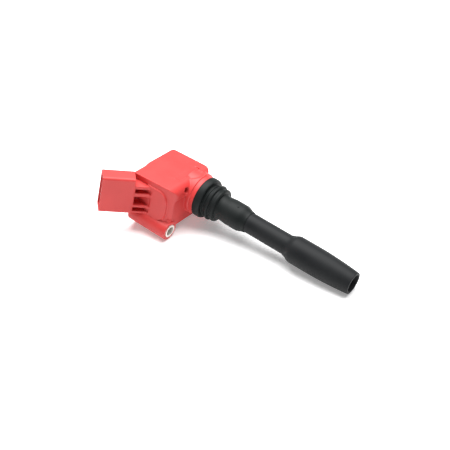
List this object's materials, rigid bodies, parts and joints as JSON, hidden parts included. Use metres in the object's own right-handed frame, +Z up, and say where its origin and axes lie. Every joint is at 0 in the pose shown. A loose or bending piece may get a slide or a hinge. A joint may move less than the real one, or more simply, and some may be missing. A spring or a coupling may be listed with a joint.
{
  "type": "ignition coil",
  "caption": "Coil-on-plug ignition coil with a moulded head, side connector, bolt boss, sealed stem and spark plug boot.",
  "frame": {"origin": "on the stem axis, in the plane where the head collar meets the well seal", "axes": "the coil lies on a level surface: +Z is up, +X runs along the stem towards the boot mouth (6 degrees nose down), -Y is the side of the connector and the bolt boss"},
  "size_m": [0.1773, 0.0724, 0.0489],
  "materials": {
    "red_moulding": "satin moulded",
    "resin": "cast resin",
    "bush_steel": "turned, zinc plated",
    "seal_rubber": "matt",
    "black_tube": "satin moulded",
    "boot_silicone": "satin",
    "spring_steel": "drawn wire",
    "ceramic": "ceramic",
    "cap_metal": "pressed",
    "iron": "laminated",
    "magnet": "plated",
    "bobbin": "moulded",
    "copper_wire": "enamelled",
    "board": "laminate",
    "chip": "moulded",
    "capacitor": "dipped",
    "terminal_tin": "tin plated"
  },
  "bodies": {
    "coil": {"head_housing": "red_moulding", "potting_resin": "resin", "mounting_bush": "bush_steel", "well_seal": "seal_rubber", "stem_tube": "black_tube", "plug_boot": "boot_silicone", "suppression_resistor": "ceramic", "upper_cap": "cap_metal", "lower_cap": "cap_metal", "hv_cup": "cap_metal", "terminal_1": "terminal_tin", "terminal_2": "terminal_tin", "terminal_3": "terminal_tin", "terminal_4": "terminal_tin", "outer_core": "iron", "centre_core": "iron", "bias_magnet": "magnet", "core_pad": "seal_rubber", "primary_bobbin": "bobbin", "primary_winding": "copper_wire", "secondary_bobbin": "bobbin", "secondary_winding": "copper_wire", "driver_board": "board", "driver_chip": "chip", "heat_spreader": "cap_metal", "noise_capacitor": "capacitor"},
    "contact": {"contact_spring": "spring_steel"}
  },
  "joints": [
    {"name": "contact_travel", "type": "slide", "parent": "coil", "child": "contact", "axis": [-0.9945, 0, 0.105], "range_m": [0, 0.005], "stiffness_N_per_m": 400, "deforming": ["contact_spring"]}
  ]
}
